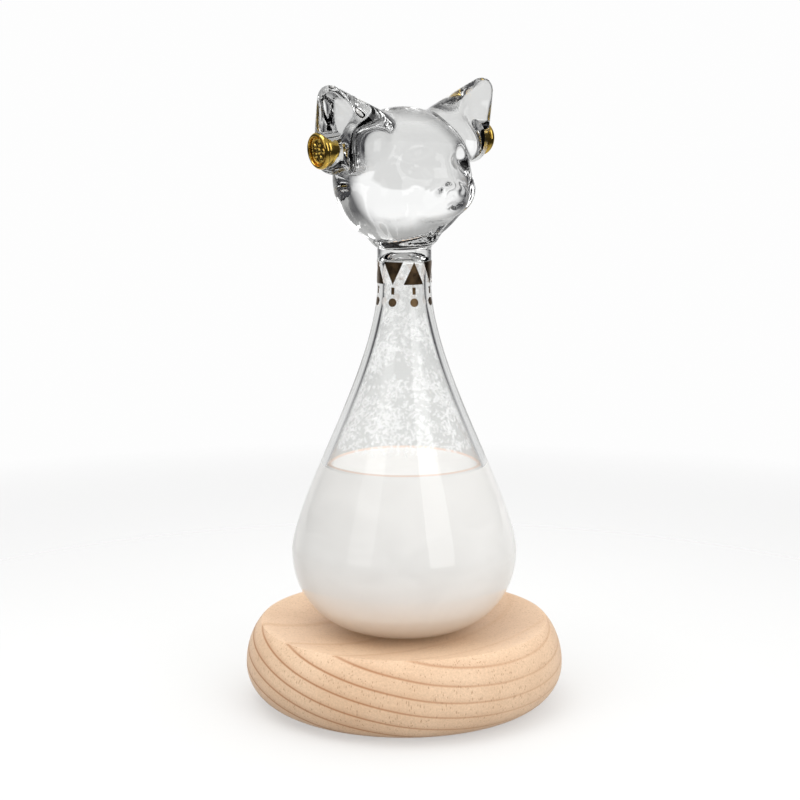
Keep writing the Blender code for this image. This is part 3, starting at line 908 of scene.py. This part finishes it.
# %% Helpers for Geometry Nodes
def group_tree(name, sockets):
    """An empty tree with its inputs by name and kind, and its two end nodes."""
    tree = bpy.data.node_groups.new(name, "GeometryNodeTree")
    for label, kind in {"Geometry": "Geometry", **sockets}.items():
        tree.interface.new_socket(label, in_out="INPUT", socket_type=f"NodeSocket{kind}")
    tree.interface.new_socket("Geometry", in_out="OUTPUT", socket_type="NodeSocketGeometry")
    return tree, tree.nodes.new("NodeGroupInput"), tree.nodes.new("NodeGroupOutput")


def hand_out(tree, copies, material, result):
    """Turns the copies into faces of their own, in that material, and gives them to the result."""
    real = tree.nodes.new("GeometryNodeRealizeInstances")
    coloured = add_node(tree, "GeometryNodeSetMaterial", Material=material)
    tree.links.new(copies, real.inputs[0])
    tree.links.new(real.outputs[0], coloured.inputs["Geometry"])
    tree.links.new(coloured.outputs[0], result.inputs["Geometry"])


def grown(name, mesh, tree, **inputs):
    """What the tree makes of the mesh, as a plain mesh. Inputs are set by each socket's identifier."""
    obj = scratch(name, mesh)
    grow = obj.modifiers.new("grow", "NODES")
    grow.node_group = tree
    for item in tree.interface.items_tree:
        label = item.name.replace(" ", "_")
        if item.in_out == "INPUT" and label in inputs:
            grow[item.identifier] = inputs[label]
    made = baked(obj)
    made.name = name
    return made


# %% Geometry Nodes tree that scatters ferns
def scatter_tree(name, fern, material):
    """Ferns over a surface, with named inputs for how many, how big and how gathered."""
    numbers = ("Per Square Metre", "Smallest", "Largest", "Drift Size", "Bare Below", "Tilt")
    sockets = {**dict.fromkeys(numbers, "Float"), "Seed": "Int"}
    tree, given, result = group_tree(name, sockets)

    def wire(source, target):
        tree.links.new(source, target)

    drift = add_node(tree, "ShaderNodeTexNoise", Detail=4.0, Roughness=0.6)
    wire(given.outputs["Drift Size"], drift.inputs["Scale"])
    gathered = tree.nodes.new("FunctionNodeCompare")
    gathered.operation = "GREATER_THAN"
    wire(drift.outputs[0], gathered.inputs["A"])
    wire(given.outputs["Bare Below"], gathered.inputs["B"])
    points = tree.nodes.new("GeometryNodeDistributePointsOnFaces")
    wire(given.outputs["Geometry"], points.inputs["Mesh"])
    wire(given.outputs["Per Square Metre"], points.inputs["Density"])
    wire(given.outputs["Seed"], points.inputs["Seed"])
    wire(gathered.outputs["Result"], points.inputs["Selection"])
    source = add_node(tree, "GeometryNodeObjectInfo", Object=fern)

    def random_vector(limit):
        node = tree.nodes.new("FunctionNodeRandomValue")
        node.data_type = "FLOAT_VECTOR"
        node.inputs[0].default_value = tuple(-v for v in limit)
        node.inputs[1].default_value = limit
        return node

    def rotated(rotation, by):
        node = tree.nodes.new("FunctionNodeRotateRotation")
        node.rotation_space = "LOCAL"
        wire(rotation, node.inputs[0])
        wire(by, node.inputs[1])
        return node.outputs[0]

    spin = random_vector((0, 0, math.pi))
    lean = random_vector((1, 1, 0))
    wire(given.outputs["Seed"], lean.inputs["Seed"])
    tilt = tree.nodes.new("ShaderNodeVectorMath")
    tilt.operation = "SCALE"
    wire(lean.outputs[0], tilt.inputs[0])
    wire(given.outputs["Tilt"], tilt.inputs["Scale"])
    leaned = rotated(rotated(points.outputs["Rotation"], spin.outputs[0]), tilt.outputs[0])

    size = tree.nodes.new("FunctionNodeRandomValue")
    wire(given.outputs["Smallest"], size.inputs[2])
    wire(given.outputs["Largest"], size.inputs[3])
    ferns = tree.nodes.new("GeometryNodeInstanceOnPoints")
    wire(points.outputs["Points"], ferns.inputs["Points"])
    wire(source.outputs["Geometry"], ferns.inputs["Instance"])
    wire(leaned, ferns.inputs["Rotation"])
    wire(size.outputs[1], ferns.inputs["Scale"])
    hand_out(tree, ferns.outputs["Instances"], material, result)
    return tree


# %% Crystal material
camphor = mottled(
    "camphor",
    "Noise",
    {"Scale": 1500.0, "Detail": 2.0},
    gloss=[(0.35, 0.30), (0.65, 0.60)],
    Base_Color=(0.98, 0.98, 0.98, 1.0),
    Roughness=0.4,
    IOR=1.3,
    Transmission_Weight=0.35,
    Emission_Strength=0.12,     # a painted glow: the crystals give off a little light, standing in for light scattered many times between the leaflets
)
fern = scratch("fern", fern_mesh())
ferns_tree = scatter_tree("ferns", fern, camphor)
print("fern faces", len(fern.data.polygons))


# %% Frost on the wall above the liquid
BAND_STEPS = 72


def open_band(name, top, bottom, depth):
    """A single skin that follows the inside of the shoulder, facing the axis."""
    shape = bmesh.new()
    full = spread(0.0, 2 * math.pi, BAND_STEPS)[:-1]
    rings = [ring(shape, radius, z, full) for radius, z in shoulder(top, bottom, depth, 40)]
    for upper, lower in zip(rings, rings[1:]):
        for i in range(BAND_STEPS):
            j = (i + 1) % BAND_STEPS
            shape.faces.new((upper[i], upper[j], lower[j], lower[i]))
    return mesh_from(name, shape)


frost_mesh = grown(
    "wall_frost",
    open_band("band", FROST_HIGH, FROST_LOW + 0.6 * MM, WALL + 0.45 * MM),
    ferns_tree,
    Per_Square_Metre=1.7e6,
    Smallest=0.6,
    Largest=2.0,
    Drift_Size=150.0,
    Bare_Below=0.49,
    Tilt=0.35,
    Seed=3,
)
new_piece("wall_frost", frost_mesh, "bottle", ["neck_frost"])
print("frost faces", len(frost_mesh.polygons))


# %% Crystals settled on the floor of the bottle
def bed_mesh():
    depth = WALL + BED_FILM + 2 * LIQUID_GAP
    floor_z = FOOT_Z + depth
    plug_room = (FILLER_RADIUS + 0.9 * MM, high("filler_plug")[2] + 0.3 * MM)
    side = [(bowl_radius(z, depth), z) for z in spread(BED_Z, floor_z, 14)]
    rim = side[0][0]
    dip = 0.3 * MM          # the bed is a little lower in its middle
    top = [(rim * share, BED_Z - dip * (1 - share**4)) for share in (0.0, 0.3, 0.6, 0.85)]
    well = [(plug_room[0], floor_z), plug_room, (0.0, plug_room[1])]
    return turned_mesh("crystal_bed", [*top, *side, *well], angle=35)


bed_finish = mottled(
    "crystal_bed",
    "Voronoi",
    {"Scale": 900.0},
    colour=[(0.0, (0.98, 0.97, 0.96)), (0.8, (0.93, 0.915, 0.895))],
    relief=(0.4, 0.3 * MM),
    Roughness=0.7,
    IOR=1.1,
    Transmission_Weight=0.3,
)
new_piece("crystal_bed", bed_mesh(), "bottle", ["settled_crystals"], bed_finish)
print("bed", round((BED_Z - FOOT_Z) / MM, 1), "mm deep")

# %% [markdown]
# ## Ear studs
#
# Each stud is a short gilded drum with a rolled rim and an embossed medallion in its outer face. The drum is
# turned. Its medallion is a rosette: one petal and one bead are drawn, and a Geometry Nodes tree sets each
# round a ring. All of it is then melted into one skin, as a pressed medallion is.


# %% Geometry Nodes tree that repeats a shape round an axis
def ring_tree(name, material):
    """Copies the incoming mesh round Z, with a named count."""
    tree, given, result = group_tree(name, {"Count": "Int"})
    line = tree.nodes.new("GeometryNodeMeshLine")
    line.inputs["Offset"].default_value = (0, 0, 0)
    index = tree.nodes.new("GeometryNodeInputIndex")
    share = tree.nodes.new("ShaderNodeMath")
    share.operation = "DIVIDE"
    angle = tree.nodes.new("ShaderNodeMath")
    angle.operation = "MULTIPLY"
    angle.inputs[1].default_value = 2 * math.pi
    turn = tree.nodes.new("ShaderNodeCombineXYZ")
    copies = tree.nodes.new("GeometryNodeInstanceOnPoints")
    wires = (
        (given.outputs["Count"], line.inputs["Count"]),
        (index.outputs[0], share.inputs[0]),
        (given.outputs["Count"], share.inputs[1]),
        (share.outputs[0], angle.inputs[0]),
        (angle.outputs[0], turn.inputs["Z"]),
        (line.outputs[0], copies.inputs["Points"]),
        (given.outputs["Geometry"], copies.inputs["Instance"]),
        (turn.outputs[0], copies.inputs["Rotation"]),
    )
    for source, target in wires:
        tree.links.new(source, target)
    hand_out(tree, copies.outputs[0], material, result)
    return tree


# %% Polished gold
gold = mottled(
    "polished_gold",
    "Noise",
    {"Scale": 900.0, "Detail": 4.0},
    colour=[(0.3, (0.70, 0.45, 0.085)), (0.7, (0.84, 0.60, 0.15))],
    gloss=[(0.3, 0.07), (0.75, 0.18)],
    relief=(0.15, 0.04 * MM),
    Metallic=1.0,
    Roughness=0.1,
)
rosette_tree = ring_tree("rosette", gold)


# %% Turn and emboss the studs
PETALS, BEADS, BEAD_RADIUS = 5, 28, 0.17 * MM


def cup_mesh(name):
    edge = 0.75 * MM
    inner = STUD_RADIUS - 0.8 * MM
    recess = 1.0 * MM
    section = [
        (0.0, -recess),
        (inner - 0.15 * MM, -recess),
        (inner, -recess + 0.15 * MM),
        (inner, -0.3 * MM),
        *arc((inner + 0.3 * MM, -0.3 * MM), (-0.3 * MM, 0.3 * MM), 0, 90, 6)[1:],
        *arc((STUD_RADIUS - edge, -edge), (edge, edge), 90, -60, 16)[1:],
        (STUD_RADIUS - 0.32 * MM, -1.75 * MM),
        (STUD_RADIUS - 0.32 * MM, 0.5 * MM - STUD_LENGTH),
        (STUD_RADIUS - 0.7 * MM, 0.1 * MM - STUD_LENGTH),
        (STUD_RADIUS - 0.9 * MM, -STUD_LENGTH),
        (0.0, -STUD_LENGTH),
    ]
    return turned_mesh(name, section, steps=96, angle=35)


def ball(name, centre, radii):
    """A small ellipsoid for the medallion, in the stud's own frame."""
    shape = bmesh.new()
    place = Matrix.Translation(centre) @ Matrix.Diagonal((*radii, 1.0))
    bmesh.ops.create_uvsphere(shape, u_segments=20, v_segments=12, radius=1.0, matrix=place)
    return mesh_from(name, shape)


def bead_mesh(distance):
    shape = bmesh.new()
    place = Matrix.Translation((distance, 0, -0.66 * MM)) @ Matrix.Scale(BEAD_RADIUS, 4)
    bmesh.ops.create_icosphere(shape, subdivisions=2, radius=1.0, matrix=place)
    return mesh_from("bead", shape)


def medallion_mesh(name):
    """A domed plate with a rosette and a beaded edge, melted into one skin."""
    radius = STUD_RADIUS - 1.1 * MM
    plate_z, back_z = -0.7 * MM, -0.95 * MM
    face = [(0.0, plate_z + 0.1 * MM), (0.6 * radius, plate_z + 0.04 * MM), (radius, plate_z)]
    petal = ball("petal", (0.60 * radius, 0, -0.72 * MM), (0.28 * radius, 0.22 * radius, 0.46 * MM))
    lumps = (
        turned_mesh("plate", [*face, (radius, back_z), (0.0, back_z)], steps=64),
        ball("middle", (0, 0, -0.68 * MM), (0.26 * radius, 0.26 * radius, 0.42 * MM)),
        grown("petals", petal, rosette_tree, Count=PETALS),
        grown("beads", bead_mesh(0.88 * radius), rosette_tree, Count=BEADS),
    )
    shape = bmesh.new()
    for mesh in lumps:
        shape.from_mesh(mesh)
    made = melted(mesh_from(name, shape), 0.075 * MM, 2)
    made.name = name
    smooth(made, 60)
    return made


for side, word in ((-1, "right"), (1, "left")):
    cup, medallion = cup_mesh(f"stud_cup_{word}"), medallion_mesh(f"stud_medallion_{word}")
    for mesh, node in ((cup, f"earring_cup_{word}"), (medallion, f"earring_medallion_{word}")):
        mesh.transform(stud_frame(side))
        new_piece(mesh.name, mesh, "bottle", [node], gold)
print("medallion faces", len(medallion.polygons))

# %% [markdown]
# ## The printed collar
#
# The collar is a transfer print, fired on. Eight leaves point up and down in turn and leave a clear zigzag
# between them, with a tick and a dot under each. Here a leaf is a fine grid of faces laid on the neck by
# angle and height, so that it follows the curve, and given the thickness of the print. The ticks and dots
# are laid in the same way, so the dots ride on the flare. The side towards the glass is a pale underprint,
# which keeps the far leaves from showing dark through the neck.


# %% Print and underprint
printed = mottled(
    "fired_gold",
    "Noise",
    {"Scale": 700.0, "Detail": 5.0},
    # painted shade: the print's colour is set far darker than fired gold, standing in for the dark room it
    # reflects
    colour=[(0.3, (0.11, 0.072, 0.042)), (0.7, (0.24, 0.155, 0.08))],
    gloss=[(0.3, 0.25), (0.7, 0.42)],
    relief=(0.3, 0.03 * MM),
    Metallic=1.0,
    Roughness=0.22,
)
underprint = mottled(
    "underprint",
    "Noise",
    {"Scale": 500.0, "Detail": 3.0},
    colour=[(0.3, (0.90, 0.84, 0.80)), (0.7, (0.96, 0.92, 0.89))],
    Roughness=0.6,
    Transmission_Weight=0.2,
    IOR=1.2,
)
print("print finishes:", printed.name, underprint.name)

# %% Lay the islands on the neck
PRINT_LIFT, PRINT_THICKNESS = 0.03 * MM, 0.08 * MM
LEAF_ANGLE = math.radians(44.0)
TICK_WIDTH = 0.7 * MM
REPEATS = 8


def island(name, rows, middle, columns=14):
    """A patch laid on the neck. Each row is a height and the angle from its middle to its end."""
    shape = bmesh.new()
    skins = []
    for lift in (PRINT_LIFT, PRINT_LIFT + PRINT_THICKNESS):
        spans = [(z, spread(middle - half, middle + half, columns)) for z, half in rows]
        skins.append([ring(shape, inset_radius(z, -lift), z, turns) for z, turns in spans])
    inner, outer = skins
    last = len(rows) - 1
    for r in range(last):
        for c in range(columns):
            shape.faces.new((outer[r][c], outer[r + 1][c], outer[r + 1][c + 1], outer[r][c + 1]))
            shape.faces.new((inner[r][c + 1], inner[r + 1][c + 1], inner[r + 1][c], inner[r][c]))
        shape.faces.new((inner[r][0], inner[r + 1][0], outer[r + 1][0], outer[r][0]))
        shape.faces.new((outer[r][columns], outer[r + 1][columns], inner[r + 1][columns], inner[r][columns]))
    for c in range(columns):
        shape.faces.new((inner[0][c], outer[0][c], outer[0][c + 1], inner[0][c + 1]))
        shape.faces.new((outer[last][c], inner[last][c], inner[last][c + 1], outer[last][c + 1]))
    bmesh.ops.recalc_face_normals(shape, faces=shape.faces[:])
    for face in shape.faces:
        centre = face.calc_center_median()
        face.material_index = 1 if face.normal.x * centre.x + face.normal.y * centre.y < 0 else 0
    mesh = mesh_from(name, shape)
    smooth(mesh, 40)
    return mesh


def leaf_rows(upward):
    shares = spread(0.0, 1.0, 12) if upward else spread(1.0, 0.0, 12)
    halves = [LEAF_ANGLE / 2 * max(share, 0.02) for share in shares]
    return list(zip(spread(BAND_HIGH, BAND_LOW, 12), halves))


def tick_rows(index):
    top, bottom = high(f"collar_tick_{index}")[2], low(f"collar_tick_{index}")[2]
    return [(z, TICK_WIDTH / 2 / NECK_RADIUS) for z in spread(top, bottom, 4)]


def dot_rows(index):
    top, bottom = high(f"collar_dot_{index}")[2], low(f"collar_dot_{index}")[2]
    radius, middle_z = (top - bottom) / 2, (top + bottom) / 2
    rows = []
    for i in range(13):
        angle = math.pi * (i + 0.25) / 12.5
        half = radius * math.sin(angle) / inset_radius(middle_z, 0.0)
        rows.append((middle_z + radius * math.cos(angle), half))
    return rows


for i in range(REPEATS):
    middle = 2 * math.pi * (i + 0.5) / REPEATS - math.pi / 2
    index = i + 1
    parts_of_repeat = (
        ("leaf", leaf_rows(i % 2 == 1)),
        ("tick", tick_rows(index)),
        ("dot", dot_rows(index)),
    )
    for kind, rows in parts_of_repeat:
        mesh = island(f"gold_{kind}_{index}", rows, middle)
        mesh.materials.append(printed)
        mesh.materials.append(underprint)
        new_piece(mesh.name, mesh, "bottle", [f"collar_{kind}_{index}"])
print("collar of", REPEATS, "repeats between", round(BAND_LOW / MM, 1), "and", round(BAND_HIGH / MM, 1), "mm")

# %% [markdown]
# ## Plug and seal
#
# The bottle is filled through a hole in the recess under it. A silicone plug is pushed in and covered with
# a dab of clear adhesive. Neither shows while the bottle stands in its dish. The frame's own solids have
# the right shape, so they stay and only get their finish.


# %% Finishes for the hidden pieces
def dress(node, material):
    """Gives a node of the frame its finish."""
    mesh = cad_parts[node].data
    mesh.materials.clear()
    mesh.materials.append(material)


silicone = mottled(
    "silicone",
    "Noise",
    {"Scale": 400.0, "Detail": 3.0},
    colour=[(0.35, (0.78, 0.78, 0.75)), (0.65, (0.86, 0.86, 0.84))],
    relief=(0.2, 0.1 * MM),
    Roughness=0.45,
)
sealant = mottled(
    "sealant",
    "Noise",
    {"Scale": 300.0, "Detail": 3.0},
    colour=[(0.35, (0.80, 0.80, 0.74)), (0.65, (0.88, 0.88, 0.84))],
    relief=(0.2, 0.1 * MM),
    Roughness=0.15,
    Transmission_Weight=0.6,
)
dress("filler_plug", silicone)
dress("plug_sealant", sealant)
print("dressed the plug and its seal")

# %% Finish by removing the spare fern
bpy.data.objects.remove(fern, do_unlink=True)
